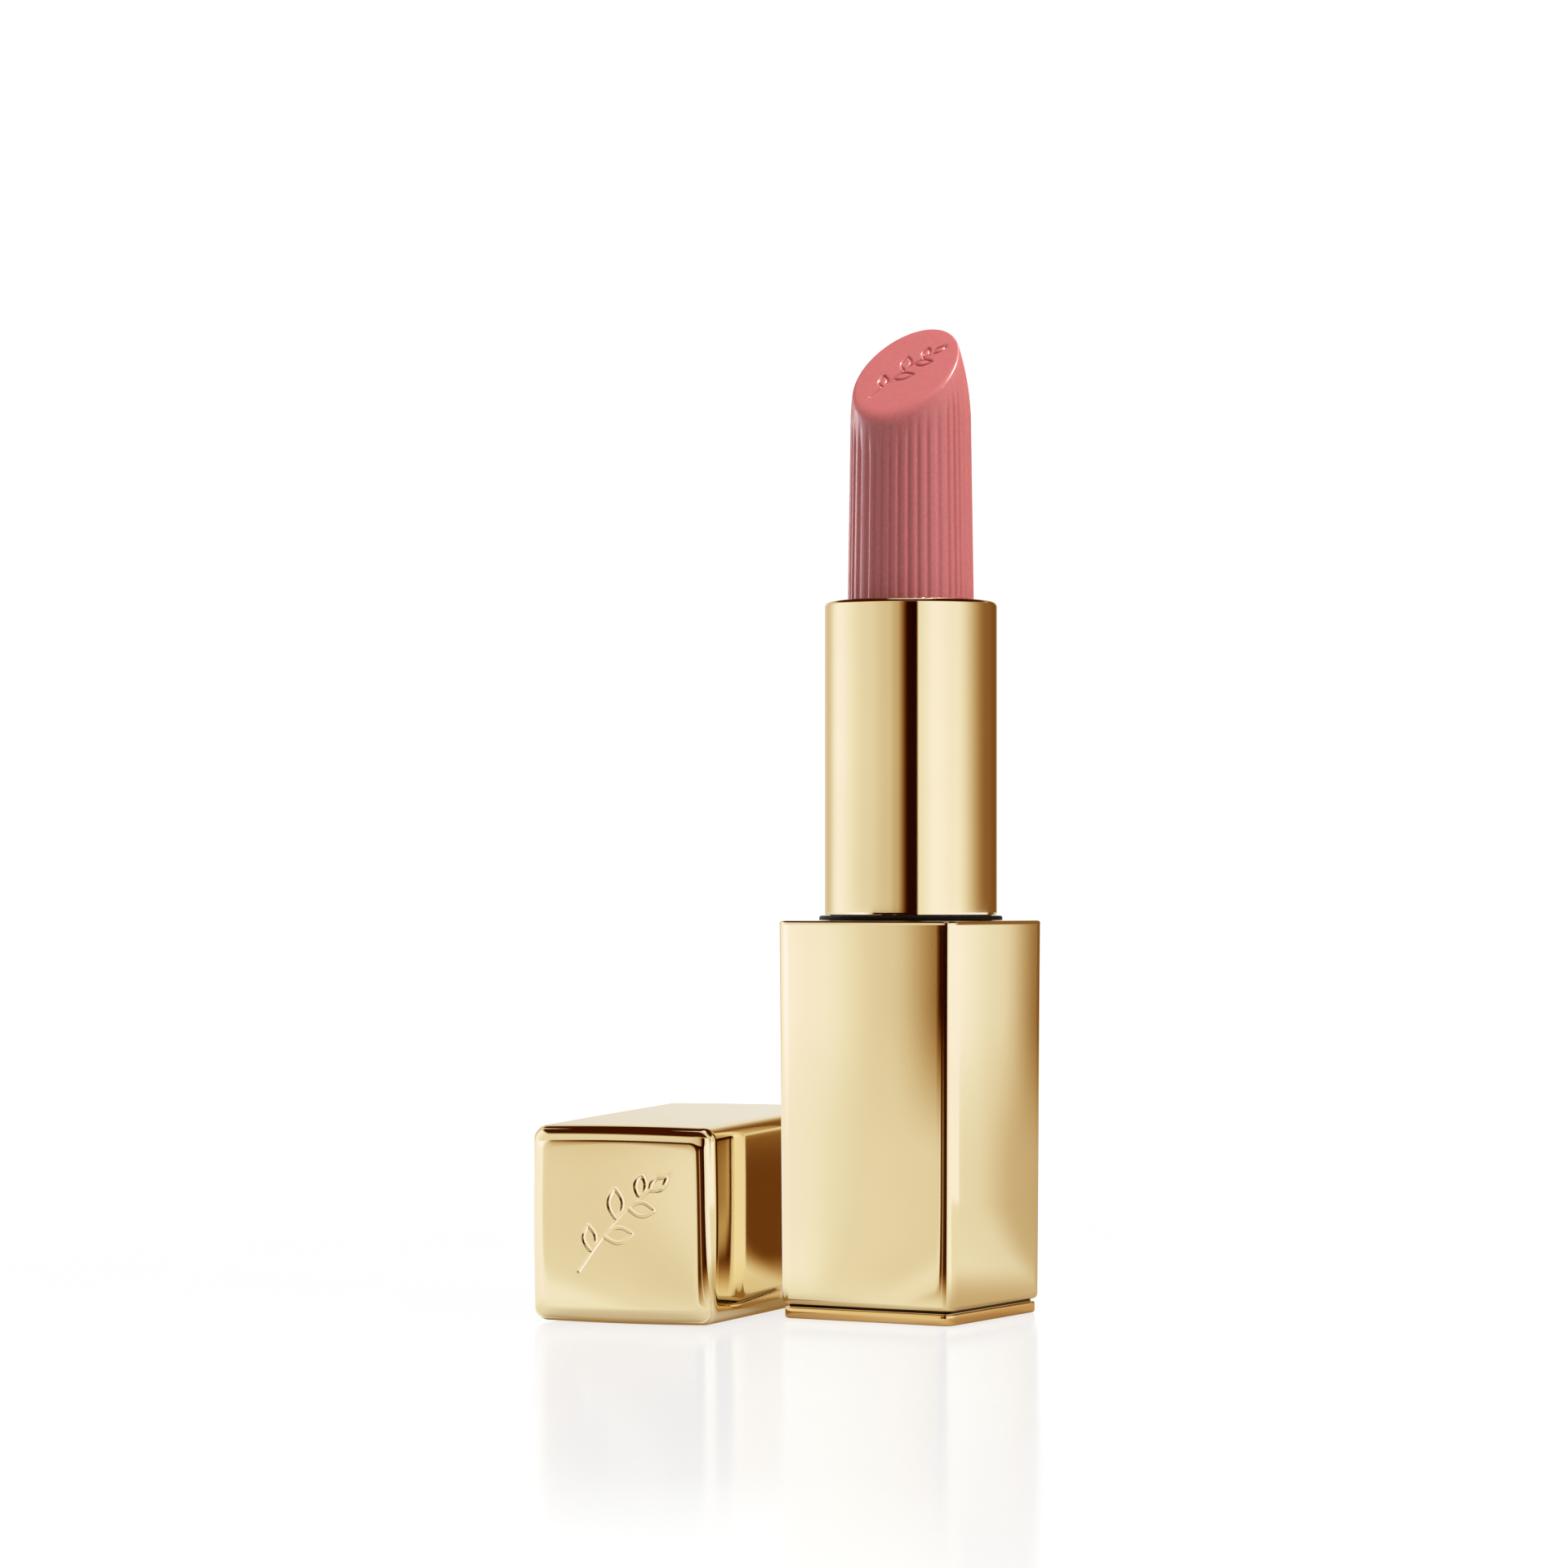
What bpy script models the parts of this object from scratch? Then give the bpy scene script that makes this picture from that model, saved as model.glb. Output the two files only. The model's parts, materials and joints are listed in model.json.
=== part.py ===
"""A square twist-up lipstick case, standing open with its bullet raised, and its cap lying beside it.

Units are metres, +Z is up. The origin is the middle of the foot's underside, on the case's own axis.
The case's four faces look along X and Y. Local heights inside the cap run from its mouth to its closed end.
"""

import math

import bmesh
import bpy
from mathutils import Matrix, Vector

MM = 0.001

# Case: overall
CASE_WIDTH = 20.3 * MM  # across the flats at the top of the base, and at the cap's mouth
FOOT_WIDTH = 19.84 * MM  # the base narrows to this at its foot
CASE_HEIGHT = 39.8 * MM  # floor to the top face of the base
PLATE_THICK = 1.1 * MM
SHADOW_GAP = 0.3 * MM  # dark line between the foot plate and the shell
EDGE_ROUND = 0.9 * MM  # long edges of the base and of the cap

# Twist mechanism
BULLET_RADIUS = 6.38 * MM
BULLET_TOP = 100.0 * MM
CUT_LOW = 90.2 * MM  # lowest point of the bullet's slanted cut, on the -Y side
NOSE_START = 89.6 * MM  # height where the bullet begins to draw in
NOSE_ARC = 27.0 * MM
BULLET_TAPER = 0.28 * MM  # how much narrower the shank is, in radius, where the nose begins
SLEEVE_RADIUS = 8.69 * MM
SLEEVE_TOP = 71.9 * MM
TRAVEL = 28.5 * MM  # how far the cup is drawn down
TWIST_TURNS = 1.5  # turns of the sleeve over that travel
LEAD = TRAVEL / TWIST_TURNS

# Cap
CAP_LENGTH = 35.5 * MM
CAP_END_WIDTH = 19.6 * MM
CAP_END_AT = Vector((-19.57, -24.1, 0)) * MM  # floor point under the middle of the closed end
CAP_TURN = math.radians(9.0)  # the cap's axis, from +Y towards -X
CAP_LINER_LOW = 0.7 * MM  # heights above the cap's mouth
CAP_BORE_DEPTH = 32.9 * MM
CAP_LINER_HIGH = 33.8 * MM

# Walls and clearances
SHELL_WALL = 0.5 * MM
CAP_WALL = 0.4 * MM
END_WALL = 0.6 * MM
RUN_GAP = 0.14 * MM  # between pieces that turn or slide on each other
SEAT_GAP = 0.15 * MM  # between pieces that rest on each other
PAST = 1.0 * MM  # how far a cutter runs past the piece it cuts

MAGNET_RADIUS = 1.2 * MM
MAGNET_LENGTH = 2.0 * MM
MAGNET_AT = 7.75 * MM  # from the axis, along X and along Y

LABEL_RADIUS = 6.0 * MM
LABEL_THICK = 0.15 * MM

SIDES = 64  # facets of the large turned pieces
MEDIUM_SIDES = 48
SMALL_SIDES = 20

# Heights that follow from the driving dimensions
SHELL_BOTTOM = PLATE_THICK + SHADOW_GAP
TOP_FACE_WALL = 0.7 * MM
LINER_TOP = CASE_HEIGHT - TOP_FACE_WALL - 0.1 * MM
LINER_BOTTOM = 14.0 * MM
COLLAR_BOTTOM = CASE_HEIGHT + 0.05 * MM
COLLAR_TOP = COLLAR_BOTTOM + 0.45 * MM
SLEEVE_BOTTOM = COLLAR_TOP + 0.08 * MM
LIP_THICK = 0.45 * MM

# Radii, from the sleeve inwards
SLEEVE_WALL = 0.4 * MM
SPIRAL_OUTER = SLEEVE_RADIUS - SLEEVE_WALL - RUN_GAP
SPIRAL_INNER = SPIRAL_OUTER - 0.7 * MM
BODY_OUTER = SPIRAL_INNER - RUN_GAP
BODY_INNER = BODY_OUTER - 0.5 * MM
CUP_OUTER = BODY_INNER - RUN_GAP
CUP_INNER = CUP_OUTER - 0.65 * MM
SOCKET_RADIUS = SPIRAL_OUTER + 0.2 * MM

# The inner body's stem, which plugs into the base
STEM_RADIUS = 6.2 * MM
STEM_BOTTOM = 18.0 * MM
FLANGE_BOTTOM = 28.0 * MM
FLANGE_TOP = 28.9 * MM
KEY_RADIUS = 7.2 * MM
KEY_WIDTH = 1.5 * MM
KEY_BOTTOM = 21.0 * MM
GRIP_RING_HEIGHT = 19.3 * MM
GRIP_RING_SECTION = 0.38 * MM
GRIP_RING_RADIUS = STEM_RADIUS + GRIP_RING_SECTION + 0.03 * MM
BODY_FLOOR = 32.3 * MM
BODY_TOP = SLEEVE_TOP - LIP_THICK - 0.25 * MM

SPIRAL_BOTTOM = 30.0 * MM
SPIRAL_TOP = BODY_TOP - 0.2 * MM

CUP_TOP = BODY_TOP - 0.2 * MM
CUP_HEIGHT = 9.6 * MM
CUP_FLOOR = 0.9 * MM
CUP_BOTTOM = CUP_TOP - CUP_HEIGHT
PIN_RADIUS = 0.85 * MM
PIN_HEIGHT = CUP_BOTTOM + 1.2 * MM
PIN_REACH = SPIRAL_OUTER - 0.2 * MM
GROOVE_SIDE_GAP = 0.17 * MM


# ---------------------------------------------------------------- scene and materials


def clear_scene():
    for obj in list(bpy.data.objects):
        bpy.data.objects.remove(obj, do_unlink=True)


def new_collection(name):
    made = bpy.data.collections.new(name)
    bpy.context.scene.collection.children.link(made)
    return made


def new_material(name, colour, metallic, roughness):
    made = bpy.data.materials.new(name)
    made.use_nodes = True
    shader = made.node_tree.nodes["Principled BSDF"]
    shader.inputs["Base Color"].default_value = (*colour, 1.0)
    shader.inputs["Metallic"].default_value = metallic
    shader.inputs["Roughness"].default_value = roughness
    return made


clear_scene()
PARTS = new_collection("lipstick_case")
CUTTERS = new_collection("cutters")
GOLD = new_material("gold", (0.79, 0.60, 0.30), 1.0, 0.12)
DARK = new_material("dark_collar", (0.03, 0.018, 0.014), 0.6, 0.25)
WHITE_PLASTIC = new_material("white_plastic", (0.82, 0.82, 0.80), 0.0, 0.45)
BLACK_PLASTIC = new_material("black_plastic", (0.02, 0.02, 0.022), 0.0, 0.4)
STEEL = new_material("steel", (0.55, 0.55, 0.56), 1.0, 0.35)
NICKEL = new_material("nickel", (0.70, 0.69, 0.66), 1.0, 0.2)
SILICONE = new_material("silicone", (0.62, 0.62, 0.60), 0.0, 0.6)
LIPSTICK = new_material("lipstick", (0.72, 0.23, 0.22), 0.0, 0.45)
PAPER = new_material("paper", (0.80, 0.76, 0.68), 0.0, 0.8)


# ---------------------------------------------------------------- modelling helpers


def add_object(name, mesh, material=None):
    """A part with its material, or a cutter, which isn't rendered, where there is no material."""
    obj = bpy.data.objects.new(name, mesh)
    if material is None:
        obj.hide_render = True
        obj.display_type = "WIRE"
        CUTTERS.objects.link(obj)
    else:
        mesh.materials.append(material)
        PARTS.objects.link(obj)
    return obj


def smooth(mesh):
    mesh.shade_smooth()
    mesh.set_sharp_from_angle(angle=math.radians(30))


def boolean(target, other, operation="DIFFERENCE"):
    modifier = target.modifiers.new(other.name, "BOOLEAN")
    modifier.operation = operation
    modifier.object = other
    modifier.solver = "EXACT"
    return target


def arc(centre_r, centre_z, radius, start, end, steps):
    """Points (r, z) on an arc, angles in degrees from +r towards +z."""
    points = []
    for i in range(steps + 1):
        angle = math.radians(start + (end - start) * i / steps)
        points.append((centre_r + radius * math.cos(angle), centre_z + radius * math.sin(angle)))
    return points


def turned(name, profile, material=None, closed=False, sides=SIDES):
    """A turned piece. Its profile is (r, z) points that run down the outer side; closed makes a ring."""
    mesh = bpy.data.meshes.new(name)
    edges = [(i, i + 1) for i in range(len(profile) - 1)]
    if closed:
        edges.append((len(profile) - 1, 0))
    mesh.from_pydata([(r, 0.0, z) for r, z in profile], edges, [])
    obj = add_object(name, mesh, material)
    screw = obj.modifiers.new("turn", "SCREW")
    screw.axis = "Z"
    screw.angle = math.tau
    screw.steps = screw.render_steps = sides
    screw.use_merge_vertices = True
    screw.merge_threshold = 0.00001
    screw.use_smooth_shade = True
    return obj


def tube_profile(inner, outer, low, high):
    return [(outer, high), (outer, low), (inner, low), (inner, high)]


def disc_profile(radius, low, high):
    return [(0.0, high), (radius, high), (radius, low), (0.0, low)]


def ring_profile(middle, section, height, sides=10):
    """A round section, for an O-ring."""
    return arc(middle, height, section, 90, 90 - 360 * (sides - 1) / sides, sides - 1)


def block(name, low_width, high_width, low, high, material=None, corner=0.0, low_edge=0.0, high_edge=0.0):
    """A square block along Z that may taper, with its long edges and its end edges rounded by a Bevel."""
    mesh = bpy.data.meshes.new(name)
    bm = bmesh.new()
    bmesh.ops.create_cube(bm, size=1.0)
    weight = bm.edges.layers.float.new("bevel_weight_edge")
    widest = max(corner, low_edge, high_edge)
    for edge in bm.edges:
        heights = [vert.co.z for vert in edge.verts]
        if min(heights) < 0 < max(heights):
            amount = corner
        else:
            amount = high_edge if heights[0] > 0 else low_edge
        edge[weight] = amount / widest if widest else 0.0
    for vert in bm.verts:
        at_top = vert.co.z > 0
        width = high_width if at_top else low_width
        vert.co = Vector((vert.co.x * width, vert.co.y * width, high if at_top else low))
    bm.to_mesh(mesh)
    bm.free()
    obj = add_object(name, mesh, material)
    if widest:
        bevel = obj.modifiers.new("round", "BEVEL")
        bevel.limit_method = "WEIGHT"
        bevel.width = widest
        bevel.segments = 3
        bevel.use_clamp_overlap = False
    return obj


def box(name, size, centre, material=None, turn=0.0):
    """A plain box, turned about Z through the axis."""
    mesh = bpy.data.meshes.new(name)
    bm = bmesh.new()
    placed = Matrix.Rotation(turn, 4, "Z") @ Matrix.Translation(centre) @ Matrix.Diagonal((*size, 1.0))
    bmesh.ops.create_cube(bm, size=1.0, matrix=placed)
    bm.to_mesh(mesh)
    bm.free()
    return add_object(name, mesh, material)


def cylinder_mesh(name, pieces):
    """One mesh of cylinders, each (radius, length, its middle's matrix)."""
    mesh = bpy.data.meshes.new(name)
    bm = bmesh.new()
    for radius, length, matrix in pieces:
        bmesh.ops.create_cone(
            bm, cap_ends=True, segments=SMALL_SIDES,
            radius1=radius, radius2=radius, depth=length, matrix=matrix,
        )
    bm.to_mesh(mesh)
    bm.free()
    return mesh


def corner_points(height):
    """The four places of the magnets, near the corners of the square."""
    return [Vector((x * MAGNET_AT, y * MAGNET_AT, height)) for x in (-1, 1) for y in (-1, 1)]


def key_boxes(name, reach, width, low, high):
    """A cross of four key ribs through the axis, at 45 degrees to the faces."""
    size, middle = (2 * reach, width, high - low), Vector((0, 0, (low + high) / 2))
    across = box(name + "_a", size, middle, turn=math.radians(45))
    return boolean(across, box(name + "_b", size, middle, turn=math.radians(135)), "UNION")


def case_width(height):
    """Width of the base's outside at a height."""
    share = (height - SHELL_BOTTOM) / (CASE_HEIGHT - SHELL_BOTTOM)
    return FOOT_WIDTH + (CASE_WIDTH - FOOT_WIDTH) * share


def cap_width(height):
    """Width of the cap's outside at a height above its mouth."""
    return CASE_WIDTH + (CAP_END_WIDTH - CASE_WIDTH) * height / CAP_LENGTH


# ---------------------------------------------------------------- base


def base_shell():
    shell = block(
        "base_shell", FOOT_WIDTH, CASE_WIDTH, SHELL_BOTTOM, CASE_HEIGHT, GOLD,
        corner=EDGE_ROUND, low_edge=0.5 * MM, high_edge=0.25 * MM,
    )
    low, high = SHELL_BOTTOM - PAST, CASE_HEIGHT - TOP_FACE_WALL
    hollow = block(
        "base_shell_hollow", case_width(low) - 2 * SHELL_WALL, case_width(high) - 2 * SHELL_WALL,
        low, high, corner=EDGE_ROUND - SHELL_WALL,
    )
    mouth = turned("base_shell_mouth", disc_profile(SOCKET_RADIUS, high - PAST, CASE_HEIGHT + PAST))
    boolean(shell, hollow)
    return boolean(shell, mouth)


def base_plate():
    plate = block(
        "base_plate", FOOT_WIDTH - 0.64 * MM, FOOT_WIDTH - 0.64 * MM, 0.0, PLATE_THICK, GOLD,
        corner=0.7 * MM, low_edge=0.2 * MM, high_edge=0.12 * MM,
    )
    plug_width = case_width(SHELL_BOTTOM) - 2 * SHELL_WALL - 4 * SEAT_GAP
    plug = block("base_plate_plug", plug_width, plug_width, PLATE_THICK - 0.3 * MM, 2.3 * MM, corner=0.5 * MM)
    boolean(plate, plug, "UNION")
    recess_profile = disc_profile(LABEL_RADIUS + SEAT_GAP, -PAST, 2 * LABEL_THICK)
    recess = turned("base_plate_recess", recess_profile, sides=MEDIUM_SIDES)
    return boolean(plate, recess)


def base_label():
    return turned("base_label", disc_profile(LABEL_RADIUS, 0.0, LABEL_THICK), PAPER, sides=MEDIUM_SIDES)


def base_weight():
    width, low, high = 18.0 * MM, 2.6 * MM, LINER_BOTTOM - 2 * SEAT_GAP
    return block("base_weight", width, width, low, high, STEEL, corner=0.6 * MM)


def base_liner():
    """The plug inside the base: a round well for the mechanism over a keyed socket for its stem."""
    wall = SHELL_WALL + SEAT_GAP
    liner = block(
        "base_liner", case_width(LINER_BOTTOM) - 2 * wall, case_width(LINER_TOP) - 2 * wall,
        LINER_BOTTOM, LINER_TOP, BLACK_PLASTIC, corner=0.5 * MM,
    )
    shoulder = FLANGE_BOTTOM - SEAT_GAP
    bore = STEM_RADIUS + RUN_GAP
    groove = GRIP_RING_RADIUS + GRIP_RING_SECTION + 0.05 * MM
    half_groove = GRIP_RING_SECTION + 0.07 * MM
    well = [
        (0.0, LINER_TOP + PAST),
        (SOCKET_RADIUS, LINER_TOP + PAST),
        (SOCKET_RADIUS, shoulder),
        (bore, shoulder),
        (bore, GRIP_RING_HEIGHT + half_groove),
        (groove, GRIP_RING_HEIGHT + half_groove),
        (groove, GRIP_RING_HEIGHT - half_groove),
        (bore, GRIP_RING_HEIGHT - half_groove),
        (bore, STEM_BOTTOM - 2 * SEAT_GAP),
        (0.0, STEM_BOTTOM - 2 * SEAT_GAP),
    ]
    boolean(liner, turned("base_liner_well", well))
    keyways = key_boxes(
        "base_liner_keyways", KEY_RADIUS + RUN_GAP, KEY_WIDTH + 2 * RUN_GAP,
        KEY_BOTTOM - SEAT_GAP, shoulder + PAST,
    )
    boolean(liner, keyways)
    depth = MAGNET_LENGTH + 2 * SEAT_GAP
    pockets = cylinder_mesh(
        "base_liner_pockets",
        [
            (MAGNET_RADIUS + 0.08 * MM, depth + PAST, Matrix.Translation(p))
            for p in corner_points(LINER_TOP + (PAST - depth) / 2)
        ],
    )
    return boolean(liner, add_object("base_liner_pockets", pockets))


def magnets(prefix, height, parent=None):
    """Four disc magnets; height is their middle's."""
    for number, point in enumerate(corner_points(height), start=1):
        name = f"{prefix}_{number}"
        magnet = add_object(name, cylinder_mesh(name, [(MAGNET_RADIUS, MAGNET_LENGTH, Matrix())]), NICKEL)
        smooth(magnet.data)
        magnet.location = point
        magnet.parent = parent


def grip_ring():
    """The O-ring in the socket that grips the refill's stem."""
    profile = ring_profile(GRIP_RING_RADIUS, GRIP_RING_SECTION, GRIP_RING_HEIGHT)
    return turned("grip_ring", profile, SILICONE, closed=True, sides=MEDIUM_SIDES)


# ---------------------------------------------------------------- refill and sleeve


def inner_body():
    """The slotted tube that stays still: the cup's pins run in its two straight slots."""
    core = 5.0 * MM
    profile = [
        (0.0, BODY_FLOOR),
        (BODY_INNER, BODY_FLOOR),
        (BODY_INNER, BODY_TOP),
        (BODY_OUTER, BODY_TOP),
        (BODY_OUTER, FLANGE_TOP),
        (SPIRAL_OUTER, FLANGE_TOP),
        (SPIRAL_OUTER, FLANGE_BOTTOM),
        (STEM_RADIUS, FLANGE_BOTTOM),
        (STEM_RADIUS, STEM_BOTTOM),
        (core, STEM_BOTTOM),
        (core, BODY_FLOOR - 1.2 * MM),
        (0.0, BODY_FLOOR - 1.2 * MM),
    ]
    body = turned("inner_body", profile, WHITE_PLASTIC)
    keys = key_boxes("inner_body_keys", KEY_RADIUS, KEY_WIDTH, KEY_BOTTOM, FLANGE_BOTTOM + 0.4 * MM)
    cored = turned("inner_body_cored", disc_profile(core, KEY_BOTTOM - PAST, FLANGE_BOTTOM + PAST))
    boolean(keys, cored)
    boolean(body, keys, "UNION")
    low = PIN_HEIGHT - TRAVEL - PIN_RADIUS - 0.2 * MM
    high = PIN_HEIGHT + PIN_RADIUS + 0.2 * MM
    slots = box(
        "inner_body_slots", (2 * BODY_OUTER + 2 * PAST, 2 * PIN_RADIUS + 0.3 * MM, high - low),
        Vector((0, 0, (low + high) / 2)),
    )
    return boolean(body, slots)


def brake_ring():
    """The silicone ring under the spiral tube that makes the twist hold where it is left."""
    profile = ring_profile(7.8 * MM, 0.38 * MM, (FLANGE_TOP + SPIRAL_BOTTOM) / 2)
    return turned("brake_ring", profile, SILICONE, closed=True, sides=MEDIUM_SIDES)


def helical_cutter(name, start_angle):
    """A right-hand ramp of square section, swept down from the pins' height at start_angle."""
    helix_slope = math.atan2(LEAD, math.tau * SPIRAL_OUTER)
    half_height = (PIN_RADIUS + GROOVE_SIDE_GAP) / math.cos(helix_slope)
    inner, outer = SPIRAL_INNER - 0.4 * MM, SPIRAL_OUTER + 0.4 * MM
    overrun = math.radians(8)  # past the pins at both ends of their way
    turn = math.tau * TWIST_TURNS + 2 * overrun
    steps = round(SIDES * turn / math.tau)
    bm = bmesh.new()
    top = PIN_HEIGHT + LEAD * overrun / math.tau
    corners = [(inner, -half_height), (outer, -half_height), (outer, half_height), (inner, half_height)]
    turned_start = Matrix.Rotation(start_angle + overrun, 3, "Z")
    verts = [bm.verts.new(turned_start @ Vector((r, 0, top + z))) for r, z in corners]
    face = bm.faces.new(verts)
    bmesh.ops.spin(
        bm, geom=[face, *face.edges, *face.verts], cent=(0, 0, 0), axis=(0, 0, -1),
        dvec=(0, 0, -LEAD * turn / math.tau / steps), angle=turn, steps=steps,
    )
    bmesh.ops.recalc_face_normals(bm, faces=bm.faces)
    mesh = bpy.data.meshes.new(name)
    bm.to_mesh(mesh)
    bm.free()
    return add_object(name, mesh)


def spiral_tube():
    """The tube that turns with the sleeve: its two helical slots drive the cup's pins."""
    profile = tube_profile(SPIRAL_INNER, SPIRAL_OUTER, SPIRAL_BOTTOM, SPIRAL_TOP)
    tube = turned("spiral_tube", profile, WHITE_PLASTIC, closed=True)
    for number, start in enumerate((0.0, math.pi), start=1):
        boolean(tube, helical_cutter(f"spiral_groove_{number}", start))
    return tube


def collar_ring():
    inner, outer, edge = SPIRAL_OUTER + 0.06 * MM, 9.25 * MM, 0.22 * MM
    profile = arc(outer - edge, COLLAR_TOP - edge, edge, 90, 0, 3)
    profile += [(outer, COLLAR_BOTTOM), (inner, COLLAR_BOTTOM), (inner, COLLAR_TOP)]
    return turned("collar_ring", profile, DARK, closed=True)


def sleeve_shell():
    """The drawn metal tube with its rolled-in lip."""
    edge, foot = 0.5 * MM, 0.15 * MM
    lip_inner = BULLET_RADIUS + 0.55 * MM
    inside = SLEEVE_RADIUS - SLEEVE_WALL
    profile = [(lip_inner + 0.12 * MM, SLEEVE_TOP)]
    profile += arc(SLEEVE_RADIUS - edge, SLEEVE_TOP - edge, edge, 90, 0, 4)
    profile += arc(SLEEVE_RADIUS - foot, SLEEVE_BOTTOM + foot, foot, 0, -90, 2)
    profile += [
        (inside, SLEEVE_BOTTOM),
        (inside, SLEEVE_TOP - LIP_THICK),
        (lip_inner, SLEEVE_TOP - LIP_THICK),
        (lip_inner, SLEEVE_TOP - 0.12 * MM),
    ]
    return turned("sleeve_shell", profile, GOLD, closed=True)


# ---------------------------------------------------------------- cup and bullet


def cup():
    floor_top = CUP_BOTTOM + CUP_FLOOR
    profile = [
        (0.0, floor_top),
        (CUP_INNER, floor_top),
        (CUP_INNER, CUP_TOP),
        (CUP_OUTER, CUP_TOP),
        (CUP_OUTER, CUP_BOTTOM),
        (0.0, CUP_BOTTOM),
    ]
    made = turned("cup", profile, WHITE_PLASTIC, sides=MEDIUM_SIDES)
    root = CUP_INNER + 0.2 * MM
    pins = []
    for side in (-1, 1):
        middle = Matrix.Translation((side * (root + PIN_REACH) / 2, 0, PIN_HEIGHT))
        pins.append((PIN_RADIUS, PIN_REACH - root, middle @ Matrix.Rotation(math.pi / 2, 4, "Y")))
    return boolean(made, add_object("cup_pins", cylinder_mesh("cup_pins", pins)), "UNION")


def bullet_radius(height):
    """Radius of the uncut bullet: a slight taper, then a long round nose."""
    shoulder = CUP_TOP + 0.1 * MM
    share = min(1.0, (height - shoulder) / (NOSE_START - shoulder))
    straight = BULLET_RADIUS - BULLET_TAPER * share
    rise = max(0.0, height - NOSE_START)
    return straight - (NOSE_ARC - math.sqrt(NOSE_ARC**2 - rise**2))


def bullet():
    """The lipstick itself: a foot in the cup, a straight shank and a nose cut on a slant that faces -Y."""
    shoulder, foot = CUP_TOP + 0.1 * MM, CUP_INNER - 0.12 * MM
    nose_top = BULLET_TOP + 1.5 * MM
    nose_steps = 7
    heights = [nose_top - (nose_top - NOSE_START) * i / nose_steps for i in range(nose_steps + 1)]
    profile = [(0.0, nose_top)]
    profile += [(bullet_radius(height), height) for height in heights]
    profile += [
        (bullet_radius(shoulder), shoulder),
        (foot, shoulder),
        (foot, CUP_BOTTOM + CUP_FLOOR + 0.1 * MM),
        (0.0, CUP_BOTTOM + CUP_FLOOR + 0.1 * MM),
    ]
    made = turned("bullet", profile, LIPSTICK)
    low_y, high_y = -bullet_radius(CUT_LOW), bullet_radius(BULLET_TOP)
    slope = math.atan2(BULLET_TOP - CUT_LOW, high_y - low_y)
    size = 30 * MM
    cutter = box("bullet_cut", (size, size, size), Vector((0, 0, size / 2)))
    cutter.rotation_euler = (slope, 0, 0)
    cutter.location = (0, low_y, CUT_LOW)
    return boolean(made, cutter)


# ---------------------------------------------------------------- cap


def cap_place():
    """An empty on the cap's axis at its mouth: the cap lies on one flat, which its taper tips a little."""
    tip = math.atan2((CASE_WIDTH - CAP_END_WIDTH) / 2, CAP_LENGTH)
    along = Vector((-math.sin(CAP_TURN), math.cos(CAP_TURN), 0))
    to_mouth = CAP_LENGTH * math.cos(tip) + (CASE_WIDTH - CAP_END_WIDTH) / 2 * math.sin(tip)
    mouth = CAP_END_AT + along * to_mouth
    mouth.z = CASE_WIDTH / 2 * math.cos(tip)
    place = bpy.data.objects.new("cap_place", None)
    PARTS.objects.link(place)
    place.rotation_euler = (math.pi / 2 + tip, 0, CAP_TURN)
    place.location = mouth
    return place


def cap_shell(place):
    shell = block(
        "cap_shell", CASE_WIDTH, CAP_END_WIDTH, 0.0, CAP_LENGTH, GOLD,
        corner=EDGE_ROUND, low_edge=0.15 * MM, high_edge=1.1 * MM,
    )
    low, high = -PAST, CAP_LENGTH - END_WALL
    hollow = block(
        "cap_shell_hollow", cap_width(low) - 2 * CAP_WALL, cap_width(high) - 2 * CAP_WALL,
        low, high, corner=EDGE_ROUND - CAP_WALL, high_edge=0.8 * MM,
    )
    shell.parent = hollow.parent = place
    return boolean(shell, hollow)


def cap_liner(place):
    """The plastic inside of the cap, bored for the sleeve."""
    wall = CAP_WALL + SEAT_GAP
    liner = block(
        "cap_liner", cap_width(CAP_LINER_LOW) - 2 * wall, cap_width(CAP_LINER_HIGH) - 2 * wall,
        CAP_LINER_LOW, CAP_LINER_HIGH, BLACK_PLASTIC, corner=EDGE_ROUND - CAP_WALL,
    )
    bore_profile = disc_profile(SLEEVE_RADIUS + 0.16 * MM, CAP_LINER_LOW - PAST, CAP_BORE_DEPTH)
    bore = turned("cap_liner_bore", bore_profile)
    depth = MAGNET_LENGTH + 2 * SEAT_GAP
    pockets = add_object(
        "cap_liner_pockets",
        cylinder_mesh(
            "cap_liner_pockets",
            [
                (MAGNET_RADIUS + 0.08 * MM, depth + PAST, Matrix.Translation(p))
                for p in corner_points(CAP_LINER_LOW + (depth - PAST) / 2)
            ],
        ),
    )
    liner.parent = bore.parent = pockets.parent = place
    boolean(liner, bore)
    return boolean(liner, pockets)


def cap_weight(place):
    low, high = CAP_LINER_HIGH + SEAT_GAP, CAP_LENGTH - END_WALL - SEAT_GAP
    width = cap_width(high) - 2 * CAP_WALL - 1.6 * MM
    weight = block("cap_weight", width, width, low, high, STEEL, corner=0.5 * MM)
    weight.parent = place
    return weight


# ---------------------------------------------------------------- build


def main():
    base_shell()
    base_plate()
    base_label()
    base_weight()
    base_liner()
    grip_ring()
    magnets("base_magnet", LINER_TOP - SEAT_GAP - MAGNET_LENGTH / 2)

    inner_body()
    brake_ring()
    spiral_tube()
    collar_ring()
    sleeve_shell()
    cup()
    bullet()

    place = cap_place()
    cap_shell(place)
    cap_liner(place)
    cap_weight(place)
    magnets("cap_magnet", CAP_LINER_LOW + SEAT_GAP + MAGNET_LENGTH / 2, parent=place)


main()
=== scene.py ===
"""Looks of a square, gold, twist-up lipstick case with its cap lying beside it.

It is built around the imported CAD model, in the same frame: metres, +Z up, and the origin under the
middle of the case's foot.
"""

import json
import math

import bpy
import numpy as np
from mathutils import Matrix, Vector

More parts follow.
